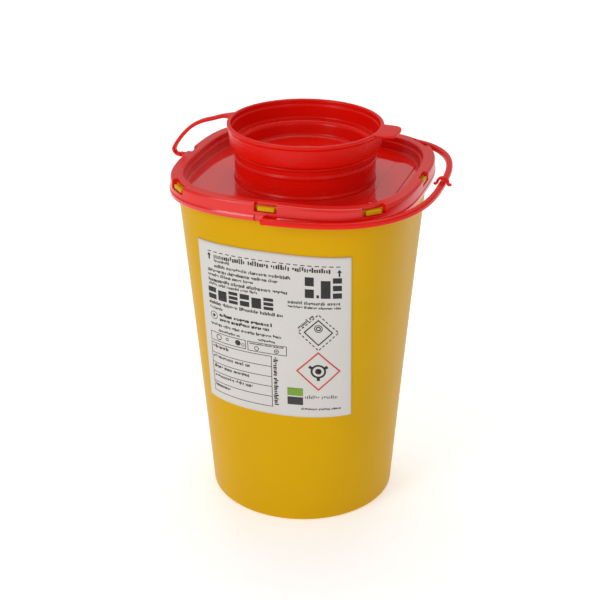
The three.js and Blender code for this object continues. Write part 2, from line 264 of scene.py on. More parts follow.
def bar(centre, side, up, half_wide, half_tall, power=2.6, around=24):
    """Rings of a bar along a line: centre + side x w x sgn(cos)|cos|^(2/n) + up x h x sgn(sin)|sin|^(2/n)."""
    angle = even_angles(around)
    across = np.sign(np.cos(angle)) * np.abs(np.cos(angle)) ** (2 / power)
    over = np.sign(np.sin(angle)) * np.abs(np.sin(angle)) ** (2 / power)
    wide = np.broadcast_to(half_wide, len(centre))[:, None, None]
    tall = np.broadcast_to(half_tall, len(centre))[:, None, None]
    side = np.broadcast_to(side, centre.shape)[:, None]
    up = np.broadcast_to(up, centre.shape)[:, None]
    return centre[:, None] + side * wide * across[None, :, None] + up * tall * over[None, :, None]


def block(centre, along, side, up, half, power=7.0):
    """A box with soft edges: |x/a|^n + |y/b|^n + |z/c|^n = 1, as rings along its first axis."""
    u = np.linspace(-1, 1, 19)
    t = 0.9995 * np.sign(u) * (1 - (1 - np.abs(u)) ** 3)
    size = (1 - np.abs(t) ** power) ** (1 / power)
    line = np.asarray(centre) + t[:, None] * half[0] * np.asarray(along)
    return bar(line, side, up, half[1] * size, half[2] * size, power, 40)


def smooth_line(points, per_span=12):
    """A centripetal Catmull-Rom line through the points, by repeated blending between knots whose
    spacing is the square root of each span's length."""
    points = np.array(points, float)
    ends = 2 * points[[0, -1]] - points[[1, -2]]
    points = np.vstack([ends[:1], points, ends[1:]])
    knots = np.concatenate([[0], np.cumsum(np.linalg.norm(np.diff(points, axis=0), axis=1) ** 0.5)])
    k = np.stack([knots[i : len(knots) - 3 + i] for i in range(4)])[:, :, None, None]
    p = np.stack([points[i : len(points) - 3 + i] for i in range(4)])[:, :, None, :]
    t = k[1] + (k[2] - k[1]) * (np.arange(per_span) / per_span)[None, :, None]

    def mix(low, high, a, b):
        return ((high - t) * a + (t - low) * b) / (high - low)

    a1, a2, a3 = mix(k[0], k[1], p[0], p[1]), mix(k[1], k[2], p[1], p[2]), mix(k[2], k[3], p[2], p[3])
    b1, b2 = mix(k[0], k[2], a1, a2), mix(k[1], k[3], a2, a3)
    line = mix(k[1], k[2], b1, b2).reshape(-1, 3)
    return np.vstack([line, points[-2:-1]])


def frames_along(line, up):
    """Side and up directions square to a line; up starts from the given direction."""
    ahead = np.gradient(line, axis=0)
    ahead /= np.linalg.norm(ahead, axis=1, keepdims=True)
    side = np.cross(np.broadcast_to(up, line.shape), ahead)
    side /= np.linalg.norm(side, axis=1, keepdims=True)
    return side, np.cross(ahead, side)


def signed_volume(points, faces):
    corner = points[faces]
    first = corner[:, 0]
    total = 0.0
    for i in range(1, faces.shape[1] - 1):
        total += np.einsum("ij,ij->i", first, np.cross(corner[:, i], corner[:, i + 1])).sum()
    return total


def add_object(name, points, faces, material, body, slot, replaces, sharp=40):
    mesh = bpy.data.meshes.new(name)
    mesh.from_pydata(points.tolist(), [], faces)
    mesh.shade_smooth()
    mesh.set_sharp_from_angle(angle=math.radians(sharp))
    mesh.materials.append(material)
    piece = bpy.data.objects.new(name, mesh)
    bpy.context.scene.collection.objects.link(piece)
    if body:
        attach(piece, body)
    if replaces:
        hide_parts(*replaces)
    return piece


def add_shell(name, rings, looped, **use):
    """A closed surface through rings of points. A looped one joins its last ring to its first; any
    other closes each end on the end ring's middle. It is turned outwards by its signed volume."""
    rows, columns = rings.shape[:2]
    row = np.arange(rows if looped else rows - 1)[:, None]
    column = np.arange(columns)[None]
    a = row * columns + column
    b = row * columns + (column + 1) % columns
    c = (row + 1) % rows * columns + (column + 1) % columns
    d = (row + 1) % rows * columns + column
    points = rings.reshape(-1, 3)
    quads = np.stack([a, b, c, d], -1).reshape(-1, 4)
    fans = np.zeros((0, 3), int)
    if not looped:
        low, high = np.full(columns, len(points)), np.full(columns, len(points) + 1)
        fans = np.concatenate([np.stack([b[0], a[0], low], -1), np.stack([d[-1], c[-1], high], -1)])
        points = np.vstack([points, rings[[0, -1]].mean(1)])
    if signed_volume(points, quads) + signed_volume(points, fans) < 0:
        quads, fans = quads[:, ::-1], fans[:, ::-1]
    return add_object(name, points, quads.tolist() + fans.tolist(), **use)


def add_many(name, shells, **use):
    """Several open-ended bars or blocks as one mesh."""
    alone = {"body": None, "slot": None, "replaces": (), "material": use["material"]}
    parts = [add_shell(f"{name}_{i}", rings, False, **alone) for i, rings in enumerate(shells)]
    points, faces, start = [], [], 0
    for part in parts:
        mesh = part.data
        place = np.empty(len(mesh.vertices) * 3)
        mesh.vertices.foreach_get("co", place)
        points.append(place.reshape(-1, 3))
        faces += [[v + start for v in face.vertices] for face in mesh.polygons]
        start += len(mesh.vertices)
        bpy.data.objects.remove(part)
        bpy.data.meshes.remove(mesh)
    return add_object(name, np.vstack(points), faces, **use)


# ---- the bin's side, which the label follows ----

def wall_parts(sizes, height, offset):
    """Round and square part of the bin's side at a height: a straight line from the round bottom to
    the rounded square at the shoulder, both grown by the offset."""
    share = (height - sizes.edge) / (sizes.shoulder_height - sizes.edge)
    return (sizes.round_radius + offset) * (1 - share), (sizes.shoulder_half + offset) * share


def on_front(sizes, x, height, offset):
    """The point of the bin's front with this x and height. The angle solves radius(angle) cos(angle) = x,
    by halving the step towards -acos(x / radius) again and again."""
    round_part, square_part = wall_parts(sizes, height, offset)
    angle = np.full(np.shape(x), -math.pi / 2)
    for _ in range(40):
        radius = round_part + square_part * rounded_square(angle, sizes.squareness)
        angle = (angle - np.arccos(np.clip(x / radius, -1, 1))) / 2
    radius = round_part + square_part * rounded_square(angle, sizes.squareness)
    height = np.broadcast_to(height, np.shape(x))
    return np.stack([radius * np.cos(angle), radius * np.sin(angle), height], -1)


# ---- materials ----

class Number:
    """A number inside a material. Arithmetic on it adds Math nodes."""

    def __init__(self, recipe, socket):
        self.recipe, self.socket = recipe, socket

    def __add__(self, other):
        return self.recipe.maths("ADD", self, other)

    def __sub__(self, other):
        return self.recipe.maths("SUBTRACT", self, other)

    def __rsub__(self, other):
        return self.recipe.maths("SUBTRACT", other, self)

    def __mul__(self, other):
        return self.recipe.maths("MULTIPLY", self, other)

    __radd__, __rmul__ = __add__, __mul__

    def step(self, low, high):
        """0 up to low, 1 from high on, straight between."""
        return self.recipe.maths("MULTIPLY_ADD", self, 1 / (high - low), -low / (high - low), clamp=True)


class Recipe:
    """One material: its nodes are added through `add`, and numbers through `Number`."""

    def __init__(self, name, roughness, ior=1.5, **constants):
        self.material = bpy.data.materials.new(name)
        self.material.use_nodes = True
        self.tree = self.material.node_tree
        self.shader = self.tree.nodes["Principled BSDF"]
        self.feed(self.shader.inputs["Roughness"], roughness)
        self.feed(self.shader.inputs["IOR"], ior)
        for socket, value in constants.items():
            self.feed(self.shader.inputs[socket.replace("_", " ")], value)
        self.place = self.add("ShaderNodeTexCoord", {}, {}).outputs["Object"]

    def feed(self, socket, value):
        value = value.socket if isinstance(value, Number) else value
        if isinstance(value, bpy.types.NodeSocket):
            self.tree.links.new(value, socket)
        else:
            socket.default_value = value

    def add(self, kind, settings, inputs):
        node = self.tree.nodes.new(kind)
        for setting, value in settings.items():
            setattr(node, setting, value)
        for socket, value in inputs.items():
            self.feed(node.inputs[socket], value)
        return node

    def maths(self, operation, *values, clamp=False):
        settings = {"operation": operation, "use_clamp": clamp}
        node = self.add("ShaderNodeMath", settings, dict(enumerate(values)))
        return Number(self, node.outputs[0])

    def stretched(self, x, y, z):
        """Object coordinates, stretched along each axis."""
        inputs = {0: self.place, 1: (x, y, z)}
        return self.add("ShaderNodeVectorMath", {"operation": "MULTIPLY"}, inputs).outputs[0]

    def noise(self, scale, detail=2.0, along=None, roughness=0.5):
        inputs = {"Vector": along or self.place, "Scale": scale, "Detail": detail, "Roughness": roughness}
        return Number(self, self.add("ShaderNodeTexNoise", {}, inputs).outputs["Fac"])

    def height(self):
        return Number(self, self.add("ShaderNodeSeparateXYZ", {}, {0: self.place}).outputs[2])

    def mixed(self, share, first, second):
        """A colour between two colours."""
        node = self.add("ShaderNodeMix", {"data_type": "RGBA"}, {})
        for index, value in ((0, share), (6, first), (7, second)):
            self.feed(node.inputs[index], value)
        return node.outputs[2]

    def finish(self, colour=None, roughness=None, relief=None, depth=0.00002, strength=1.0):
        for socket, value in (("Base Color", colour), ("Roughness", roughness)):
            if value is not None:
                self.feed(self.shader.inputs[socket], value)
        if relief is not None:
            bump = self.add("ShaderNodeBump", {}, {"Strength": strength, "Distance": depth, "Height": relief})
            self.feed(self.shader.inputs["Normal"], bump.outputs[0])
        return self.material


def tint(colour, factor):
    return (*[min(1.0, c * factor) for c in colour], 1.0)


def made_once(name, make):
    return bpy.data.materials.get(name) or make(name)


def yellow_plastic():
    """Polypropylene with a satin skin: cloudy colour, fine grain, upright flow lines, hairline scuffs."""
    def make(name):
        recipe = Recipe(name, 0.36, 1.49, Specular_IOR_Level=0.08)
        colour = bpy.context.scene.container_finish.yellow
        cloud = recipe.noise(28, 3)
        flow = recipe.noise(260, 2, recipe.stretched(1, 1, 0.06))
        grain = recipe.noise(1900, 3)
        hair = recipe.noise(420, 4, recipe.stretched(1, 1, 0.025), 0.65).step(0.64, 0.70)
        base = recipe.mixed(cloud.step(0.32, 0.7), tint(colour, 0.965), tint(colour, 1.03))
        rough = 0.33 + cloud * 0.06 + flow * 0.03 + hair * 0.08
        return recipe.finish(base, rough, grain * 0.7 + flow * 0.25 - hair * 0.3, 0.000012, 0.6)
    return made_once("yellow_moulded_plastic", make)


def red_plastic():
    """Glossy red moulding: cloudy colour, orange-peel, fine turning lines, hairline scuffs."""
    def make(name):
        recipe = Recipe(name, 0.26, 1.5, Specular_IOR_Level=0.22)
        colour = bpy.context.scene.container_finish.red
        cloud = recipe.noise(34, 3)
        peel = recipe.noise(700, 2)
        lines = recipe.noise(900, 2, recipe.stretched(0.03, 0.03, 2.2))
        hair = recipe.noise(500, 4, recipe.stretched(1, 0.05, 1), 0.65).step(0.645, 0.7)
        base = recipe.mixed(cloud.step(0.3, 0.7), tint(colour, 0.95), tint(colour, 1.03))
        rough = 0.2 + cloud * 0.08 + lines * 0.05 + hair * 0.1
        return recipe.finish(base, rough, peel * 0.5 + lines * 0.35 - hair * 0.2, 0.000016, 0.6)
    return made_once("red_moulded_plastic", make)


def red_lid_plastic():
    """The same red, satin on the border and polished to a mirror with a clear coat on the sunken deck."""
    def make(name):
        recipe = Recipe(name, 0.26, 1.52, Coat_Roughness=0.04)
        colour = bpy.context.scene.container_finish.red
        border = recipe.height().step(NECK_LOW.z + 0.0005, NECK_LOW.z + 0.0009)
        under = 1 - recipe.height().step(NECK_LOW.z - 0.0009, NECK_LOW.z - 0.0005)
        satin = recipe.maths("MAXIMUM", border, under)
        cloud = recipe.noise(34, 3)
        peel = recipe.noise(650, 2)
        wave = recipe.noise(60, 2)
        hair = recipe.noise(500, 4, recipe.stretched(0.08, 1, 1), 0.65).step(0.645, 0.7)
        base = recipe.mixed(cloud.step(0.3, 0.7), tint(colour, 0.95), tint(colour, 1.03))
        rough = 0.1 + satin * (0.15 + cloud * 0.08) + hair * 0.05
        relief = satin * peel * 0.5 + wave * 0.6 - hair * 0.1
        recipe.feed(recipe.shader.inputs["Coat Weight"], (1 - satin) * 0.6)
        return recipe.finish(base, rough, relief, 0.000016, 0.6)
    return made_once("red_lid_plastic", make)


def label_paper():
    """Coated label paper: faint fibres and a slightly uneven white."""
    def make(name):
        recipe = Recipe(name, 0.6, 1.45)
        colour = bpy.context.scene.container_finish.paper
        fibre = recipe.noise(2600, 4, recipe.stretched(1, 1, 0.35))
        cloud = recipe.noise(45, 2)
        uneven = (fibre * 0.6 + cloud * 0.4).step(0.35, 0.65)
        base = recipe.mixed(uneven, tint(colour, 0.955), tint(colour, 1.01))
        return recipe.finish(base, 0.52 + fibre * 0.16, fibre, 0.00001, 0.5)
    return made_once("label_paper_sheet", make)


def ink(name, colour):
    """Printing ink that sits slightly uneven on the paper."""
    def make(name):
        recipe = Recipe(name, 0.5, 1.45)
        speck = recipe.noise(3200, 3)
        thin = tint([c * 0.7 + 0.06 for c in colour], 1.0)
        base = recipe.mixed(speck.step(0.5, 0.75), tint(colour, 1.0), thin)
        return recipe.finish(base, 0.42 + speck * 0.16)
    return made_once(name, make)


# ---- pieces ----

def in_red(body, *replaced):
    """What a red piece says about itself: its material, body, slot and the nodes it replaces."""
    return {"material": red_plastic(), "body": body, "slot": "red_plastic", "replaces": replaced}


class AddBin(bpy.types.Operator):
    """Bin: a shell ruled from a round bottom to a rounded square, with its rim"""
    bl_idname = "container.add_bin"
    bl_label = "Add bin"

    def execute(self, context):
        s = context.scene.container_bin
        rim, rim_top, top = BIN_HIGH.x, BIN_HIGH.z, s.shoulder_height
        rim_inner = rim - s.rim_wall
        foot = s.round_radius - s.foot_width
        shares = np.array([0.012, 0.05, 0.15, 0.3, 0.45, 0.6, 0.75, 0.88, 0.96])
        inner_floor = np.array([s.round_radius - s.wall, 0, s.floor])
        inner_top = np.array([0, s.shoulder_half - s.wall, top + 0.0006])
        heights = s.edge + shares * (top - s.edge)
        outside = np.stack([*wall_parts(s, heights, 0.0), heights, np.full(len(shares), 2e-5)], -1)
        inside = inner_top + (inner_floor - inner_top) * (1 - shares[::-1])[:, None]
        inside = np.hstack([inside, np.full((len(shares), 1), 2e-5)])
        corners = [
            (0.0005, 0, 0.0004, 0),
            (0.0013, 0, 0.0004, 0.0002),
            (0.0018, 0, s.foot_recess, 0.0004),
            (foot, 0, s.foot_recess, 0.0004),
            (foot + 0.0005, 0, 0, 0.0002),
            (s.round_radius - s.edge, 0, 0, 0.0005),
            (s.round_radius, 0, s.edge, 0.0005),
            *outside.tolist(),
            (0, s.shoulder_half, top, 0.0003),
            (0, rim, top + 0.0008, 0.0003),
            (0, rim, rim_top, 0.0003),
            (0, rim_inner, rim_top, 0.0003),
            (0, rim_inner, top + 0.0016, 0.0003),
            (0, s.shoulder_half - s.wall, top + 0.0006, 0.0003),
            *inside.tolist(),
            (s.round_radius - s.wall, 0, s.floor, 0.0015),
            (0.002, 0, s.floor, 0.0),
        ]
        rows = soften(corners, looped=False, steps=4)
        add_shell("bin_shell", turned(rows, even_angles(216), s.squareness), False,
                  material=yellow_plastic(), body="root", slot="yellow_plastic", replaces=("container_body",))
        return {"FINISHED"}


def lid_angles(half_window):
    """Angles round the lid, with close pairs where a window's or pocket's side wall stands."""
    offsets = np.radians([-1.0, -0.45, -0.22, -0.1, 0.1, 0.22, 0.45, 1.0])
    centres = np.arange(8) * math.pi / 4
    edges = (centres[:, None, None] + np.array([-1, 1])[:, None] * half_window + offsets).ravel()
    spread = even_angles(240)
    near = np.abs((spread[:, None] - edges + math.pi) % (2 * math.pi) - math.pi).min(1) < math.radians(0.5)
    return np.unique(np.round(np.concatenate([spread[~near], edges % (2 * math.pi)]), 7))


class AddLid(bpy.types.Operator):
    """Lid: flanged border, eight snap windows, two handle pockets and the sunken deck"""
    bl_idname = "container.add_lid"
    bl_label = "Add lid"

    def execute(self, context):
        s, power = context.scene.container_lid, context.scene.container_bin.squareness
        bottom, top, half = LID_LOW.z, LID_HIGH.z, LID_HIGH.x
        deck, flange = NECK_LOW.z, LID_LOW.z + s.flange_height
        side = half - s.flange_step
        land, inside = side - s.land_width, side - s.wall
        bore = context.scene.container_neck.bore
        deck_half = land - s.ledge_width - 0.0003
        notch_low, notch_in = top - s.window_drop, side - s.window_depth
        within = [
            (bore, 0, deck, 0.0001),
            (bore, 0, deck - s.wall, 0.0002),
            (0, deck_half + s.wall, deck - s.wall, 0.0005),
            (0, land + s.wall, top - s.wall, 0.0005),
            (0, inside - 0.0003, top - s.wall, 0.0005),
            (0, inside, flange - 0.0002, 0.0003),
            (0, inside + s.flange_step, bottom, 0.0002),
        ]
        without = [
            (0, half - 0.0005, bottom, 0.0003),
            (0, half, bottom + 0.0006, 0.0003),
            (0, half, flange - 0.0006, 0.0004),
            (0, side, flange, 0.0003),
            (0, side, flange + 0.00045, 0.00003),
            (0, side - 0.00005, notch_low, 0.00003),
            (0, side - 0.0001, top - 0.001, 0.0004),
            (0, side - 0.0003, top - 0.00035, 0.0003),
            (0, side - 0.0008, top, 0.0004),
            (0, notch_in, top, 0.00003),
            (0, land + 0.0004, top, 0.0005),
            (0, land, top - 0.0004, 0.0004),
            (0, land - 0.0001, top - s.ledge_drop, 0.0003),
            (0, land - 0.0001 - s.ledge_width, top - s.ledge_drop, 0.0003),
            (0, deck_half, deck, 0.0005),
        ]
        corners = within + without
        plain_rows = soften(corners, looped=True)
        outer = np.repeat(np.arange(len(corners)) >= len(within), len(plain_rows) // len(corners))
        # A window turns the border's outer corner over: in the corner's own box, where a runs out and
        # b runs up from 0 to 1, the point (a, b) moves to (1 - b, 1 - a).
        out = (plain_rows[:, 1] - notch_in) / s.window_depth
        up = (plain_rows[:, 2] - notch_low) / s.window_drop
        turned_over = outer & (out > 0) & (up > 0)
        notched = plain_rows.copy()
        notched[:, 1] = np.where(turned_over, notch_in + (1 - up) * s.window_depth, notched[:, 1])
        notched[:, 2] = np.where(turned_over, notch_low + (1 - out) * s.window_drop, notched[:, 2])
        under = ~outer & (plain_rows[:, 1] > notch_in - 0.0003)
        notched[:, 2] = np.where(under, np.minimum(notched[:, 2], notch_low - 0.0005), notched[:, 2])
        pocketed = notched.copy()
        low = outer & (plain_rows[:, 2] < flange + 0.0004)
        pocketed[:, 1] = np.where(low, np.minimum(notched[:, 1], half - s.pocket_depth), notched[:, 1])

        half_window = math.asin(s.window_width / 2 / side)
        angles = lid_angles(half_window)
        octant = np.round(angles / (math.pi / 4))
        away = np.abs(angles - octant * math.pi / 4)
        share = np.clip((half_window - away) / math.radians(0.2) + 0.5, 0, 1)[None, :, None]
        ends = (octant % 4 == 2)[None, :, None]
        cut = np.where(ends, pocketed[:, None], notched[:, None])
        rows = plain_rows[:, None] * (1 - share) + cut * share
        add_shell("lid_moulding", turned(rows, angles, power), True, sharp=32,
                  material=red_lid_plastic(), body="root", slot="red_plastic", replaces=("lid_shell",))
        return {"FINISHED"}


class AddLugs(bpy.types.Operator):
    """Lock lugs: eight soft-edged yellow blocks, each in its snap window"""
    bl_idname = "container.add_lugs"
    bl_label = "Add lock lugs"

    def execute(self, context):
        for i, name in enumerate(SIDES):
            low, high = (np.array(corner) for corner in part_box(f"lock_lug_{name}"))
            angle = i * math.pi / 4
            out = np.array([math.cos(angle), math.sin(angle), 0])
            along = np.array([-math.sin(angle), math.cos(angle), 0])
            extent = high - low
            depth = context.scene.container_lid.lug_depth
            width = max(extent[0], extent[1]) if i % 2 == 0 else extent[0] * math.sqrt(2) - depth
            half = np.array([width, depth, extent[2]]) / 2 - 1e-5
            rings = block((low + high) / 2, along, out, UP, half, 9)
            add_shell(f"lock_lug_body_{name}", rings, False, material=yellow_plastic(), body="root",
                      slot="yellow_plastic", replaces=(f"lock_lug_{name}",))
        return {"FINISHED"}


class AddDeckPanel(bpy.types.Operator):
    """Deck panel: a low plate with rounded corners on the sunken deck"""
    bl_idname = "container.add_deck_panel"
    bl_label = "Add deck panel"

    def execute(self, context):
        low, high = np.array(PANEL_LOW), np.array(PANEL_HIGH)
        middle, half = (low + high) / 2, (high - low) / 2
        corner = 0.002
        # Rings of a rounded rectangle that shrinks by an inset as it rises: a soft-edged low plate.
        angle = even_angles(96)
        turn = np.stack([np.cos(angle), np.sin(angle)], -1)
        straight = np.sign(turn) * (half[:2] - corner)
        inset = np.array([0.0002, 0.0, 0.0, 0.0, 0.00004, 0.00012, 0.00024, 0.0005, 0.0012])
        rise = np.array([-0.0001, -0.0001, 0.0001, 0.0002, 0.00029, 0.00035, 0.00038, 0.0004, 0.0004])
        rise = np.minimum(low[2] + rise, high[2])
        edge = straight[None] + turn[None] * (corner - inset[:, None, None])
        rings = np.dstack([edge + middle[:2], np.broadcast_to(rise[:, None], edge.shape[:2])])
        add_shell("deck_panel_plate", rings, False, material=red_lid_plastic(), body="root",
                  slot="red_plastic", replaces=("deck_panel",))
        return {"FINISHED"}


class AddNeck(bpy.types.Operator):
    """Neck: a round collar with a foot ring and two beads"""
    bl_idname = "container.add_neck"
    bl_label = "Add neck"

    def execute(self, context):
        s = context.scene.container_neck
        bore, wall, foot = s.bore, s.side, NECK_HIGH.x
        low, top = NECK_LOW.z, NECK_HIGH.z

        def bead(height):
            return [
                (wall, 0, height - s.bead_half, 0.0002),
                (wall + s.bead, 0, height - s.bead_crest, 0.0003),
                (wall + s.bead, 0, height + s.bead_crest, 0.0003),
                (wall, 0, height + s.bead_half, 0.0002),
            ]

        rim = top - s.rim_bead
        corners = [
            (bore, 0, low, 0.0001),
            (foot, 0, low, 0.0001),
            (foot, 0, low + 0.0005, 0.0003),
            (wall + 0.0002, 0, low + 0.0009, 0.0003),
            (wall, 0, low + 0.0014, 0.0004),
            (wall, 0, low + 0.0036, 0.00003),
            (wall + 0.00012, 0, low + 0.0037, 0.00003),
            *bead(rim - s.bead_spacing),
            (wall, 0, rim - 0.0018, 0.00003),
            *bead(rim)[:3],
            (wall - 0.0002, 0, top, 0.0003),
            (bore, 0, top, 0.0003),
        ]
        add_shell("neck_ring", turned(soften(corners, looped=True), even_angles(216)), True,
                  **in_red("root", "neck_collar"))
        return {"FINISHED"}


class AddCap(bpy.types.Operator):
    """Closure cap: a stepped cup with a lip, and its finger tab"""
    bl_idname = "container.add_cap"
    bl_label = "Add closure cap"

    def execute(self, context):
        s = context.scene.container_cap
        lip, top, under = CAP_HIGH.z, CAP_HIGH.z, CAP_LOW.z
        out = CAP_HIGH.x
        lip_in = out - s.lip_width
        floor, shelf = under + s.wall, s.shoulder + s.wall
        corners = [
            (0.001, 0, under, 0.0),
            (s.plug_bottom - 0.0008, 0, under, 0.0005),
            (s.plug_bottom, 0, under + 0.0008, 0.0005),
            (s.plug_top, 0, s.shoulder, 0.0002),
            (s.cup_bottom - 0.0003, 0, s.shoulder, 0.0002),
            (s.cup_bottom, 0, s.shoulder + 0.0005, 0.0004),
            (s.cup_top, 0, lip - s.lip_height - 0.0001, 0.0004),
            (out, 0, lip - s.lip_height + 0.0004, 0.0003),
            (out, 0, top - 0.0003, 0.0003),
            (out - 0.0004, 0, top, 0.0003),
            (lip_in + 0.0003, 0, top, 0.0003),
            (lip_in, 0, top - 0.0004, 0.0004),
            (lip_in - 0.0001, 0, top - 0.0021, 0.0003),
            (lip_in - 0.0005, 0, top - 0.0025, 0.0003),
            (s.cup_bottom - s.wall, 0, shelf + 0.0004, 0.0005),
            (s.plug_top - s.wall + 0.0008, 0, shelf, 0.0006),
            (s.plug_top - s.wall, 0, shelf - 0.0009, 0.0006),
            (s.plug_bottom - s.wall, 0, floor + 0.0008, 0.0006),
            (s.plug_bottom - s.wall - 0.0012, 0, floor, 0.0006),
            (0.0125, 0, floor, 0.0001),
            (0.0122, 0, floor + 0.00018, 0.0001),
            (0.0116, 0, floor + 0.00018, 0.0001),
            (0.0113, 0, floor, 0.0001),
            (0.0013, 0, floor, 0.0002),
            (0.001, 0, floor + 0.0003, 0.0002),
            (0.0004, 0, floor + 0.0003, 0.0),
        ]
        add_shell("cap_cup", turned(soften(corners, looped=False), even_angles(240)), False, sharp=36,
                  **in_red("cap", "closure_cap"))

        # The tab leaves the lip at full width and ends in a rounded edge: width = w (1 - u^5)^(1/3),
        # with a small flare at the lip.
        u = np.concatenate([np.linspace(0, 0.6, 10), 1 - 0.4 * np.linspace(1, 0, 26)[1:] ** 1.8])
        start, end = CAP_HIGH.x - 0.0013, TAB_HIGH.x
        line = np.stack([start + (end - start) * u, 0 * u, 0 * u + (TAB_LOW.z + TAB_HIGH.z) / 2], -1)
        wide = TAB_HIGH.y * (1 - np.minimum(u, 0.9995) ** 5) ** (1 / 3) - 0.0005 * np.clip(u * 5, 0, 1) ** 0.5
        thick = (TAB_HIGH.z - TAB_LOW.z) / 2 * (1 - np.minimum(u, 0.9995) ** 26) ** 0.5
        rings = bar(line, (0, 1, 0), UP, np.maximum(wide, 0.0004), thick, 9, 64)
        add_shell("cap_finger_tab", rings, False, **in_red("cap", "cap_tab"))
        return {"FINISHED"}


class AddStrap(bpy.types.Operator):
    """Strap: a thin arched band from the lip to its anchor, with a sharp fold, and the anchor block"""
    bl_idname = "container.add_strap"
    bl_label = "Add strap"

    def execute(self, context):
        s = context.scene.container_strap
        start = -(CAP_HIGH.x - 0.0012)
        out = STRAP_LOW.x + s.thick / 2
        level, low = CAP_HIGH.z - s.thick / 2, (ANCHOR_LOW.z + ANCHOR_HIGH.z) / 2
        face = ANCHOR_LOW.x - 0.0003
        # How far out and how far down the arch has come, as shares of its reach and of its drop.
        arch = [(0, 0), (0.13, 0.025), (0.3, 0.1), (0.5, 0.19), (0.68, 0.33), (0.88, 0.61), (1, 0.9)]
        first = -(CAP_HIGH.x + 0.0003)
        points = [(start, 0, level)]
        points += [(first + (out - first) * over, 0, level + (low - level) * down) for over, down in arch]
        points += [(out + 0.001, 0, low + 0.0002), (face - 0.0012, 0, low), (face + 0.0002, 0, low)]
        line = smooth_line(points, 14)
        side, up = frames_along(line, np.array([0.0, 1.0, 0.0]))
        run = np.concatenate([[0], np.cumsum(np.linalg.norm(np.diff(line, axis=0), axis=1))])
        left = run[-1] - run
        flare = (s.flare - s.width) / 2 * np.clip(1 - run / s.flare_length, 0, 1) ** 2
        # Two small nubs before and after the fold: how far each is from the anchor, and its half length.
        nubs = sum(
            0.0005 * np.exp(-(((left - place) / reach) ** 2))
            for place, reach in ((0.0062, 0.0005), (0.0014, 0.0004))
        )
        fold = np.exp(-(((left - 0.0038) / 0.0011) ** 2))
        thick = s.thick / 2 - (s.thick - s.hinge) / 2 * fold
        # `side` lies across the band's thickness and `up` along its width.
        rings = bar(line, side, up, thick, s.width / 2 + flare + nubs, 4, 28)
        strap = add_shell("cap_strap_band", rings, False, material=red_plastic(), body=None,
                          slot="red_plastic", replaces=("cap_strap",))
        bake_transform(strap)

        centre = np.array(ANCHOR_LOW + ANCHOR_HIGH) / 2
        half = np.array(ANCHOR_HIGH - ANCHOR_LOW) / 2
        half = (half[1], half[0] + 0.0002, half[2])
        rings = block(centre + [0.0002, 0, 0], (0, 1, 0), (1, 0, 0), UP, half, 6)
        add_shell("strap_anchor_block", rings, False, **in_red("root", "strap_anchor"))
        return {"FINISHED"}


class AddHandle(bpy.types.Operator):
    """Carry handle: a thin loop round the lid with its end knuckles, roots and middle catch"""
    bl_idname = "container.add_handle"
    bl_label = "Add carry handle"

    def execute(self, context):
        s = context.scene.container_handle
        half_x, half_y = HANDLE_HIGH.x - s.wide / 2, HANDLE_HIGH.y - s.wide / 2
        root_low, root_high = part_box("handle_root_front")
        pivot = (root_low.z + root_high.z) / 2

        def height(x, y):
            return pivot + x / half_x * (s.rise + s.twist * (1 + y / half_y) / 2)

        # Half a rounded square in plan: x = a cos^(2/n), y = b sgn(sin) |sin|^(2/n), angle from -90 to 90.
        angle = np.linspace(-math.pi / 2, math.pi / 2, 181)
        x = half_x * np.cos(angle).clip(0) ** (2 / s.squareness)
        y = half_y * np.sign(angle) * np.abs(np.sin(angle)) ** (2 / s.squareness)
        line = np.stack([x, y, height(x, y)], -1)
        side, up = frames_along(line, UP)
        loop = bar(line, side, up, s.wide / 2 - 1e-5, s.tall / 2 - 1e-5, 3.2, 28)
        knuckles = [
            bar(np.array([[0, end * half_y + t * s.wide / 2, pivot] for t in np.linspace(-1, 1, 9)]),
                (1, 0, 0), UP, *[s.tall / 2 * (1 - 0.25 * np.linspace(-1, 1, 9) ** 8)] * 2, 2, 28)
            for end in (-1, 1)
        ]
        add_many("handle_loop", [loop, *knuckles], **in_red("handle", "carry_handle"))

        middle = height(half_x, 0) - s.ear / 2
        inner = s.wide / 2 + 0.0003
        reach = inner + s.arch / 2
        half = (CATCH_HIGH.x - CATCH_LOW.x) / 2
        bend = np.radians([0, 22, 45, 67, 90, 113, 135, 158, 180])
        arch = np.stack([-reach * np.cos(bend), s.ear + reach * np.sin(bend)], -1)
        ears = np.array([[half, s.ear / 2], [half * 0.85, s.ear / 2], [reach + s.arch * 0.4, s.ear / 2]])
        path = np.vstack([ears * [-1, 1], arch, ears[::-1]])
        line = smooth_line(np.stack([half_x + path[:, 0], 0 * path[:, 0], middle + path[:, 1]], -1), 8)
        side, up = frames_along(line, np.array([0.0, 1.0, 0.0]))
        over = np.clip((line[:, 2] - middle - s.ear / 2) / 0.0008, 0, 1)
        thick = (s.ear + (s.arch - s.ear) * over) / 2 - 1e-5
        wide = (CATCH_HIGH.y - CATCH_LOW.y) / 2 - 1e-5
        edge = np.minimum(np.abs(line[:, 0] - half_x) / half, 1)
        rings = bar(line, side, up, thick, wide * (1 - 0.45 * edge**10), 4, 28)
        add_shell("handle_catch_arch", rings, False, **in_red("handle", "handle_catch"))

        for name in ("front", "rear"):
            low, high = (np.array(corner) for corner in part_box(f"handle_root_{name}"))
            t = np.linspace(-1, 1, 13)
            line = (low + high) / 2 + t[:, None] * np.array([0, (high[1] - low[1]) / 2, 0])
            radius = (high[2] - low[2]) / 2 * (0.86 + 0.14 * np.abs(t) ** 3)
            add_shell(f"handle_root_{name}_stem", bar(line, (1, 0, 0), UP, radius, radius, 2, 28), False,
                      **in_red("root", f"handle_root_{name}"))
        return {"FINISHED"}


# ---- label ----
# The print is laid out in millimetres from the upper left corner of the drawn sheet: u to the right
# along the paper, v down.

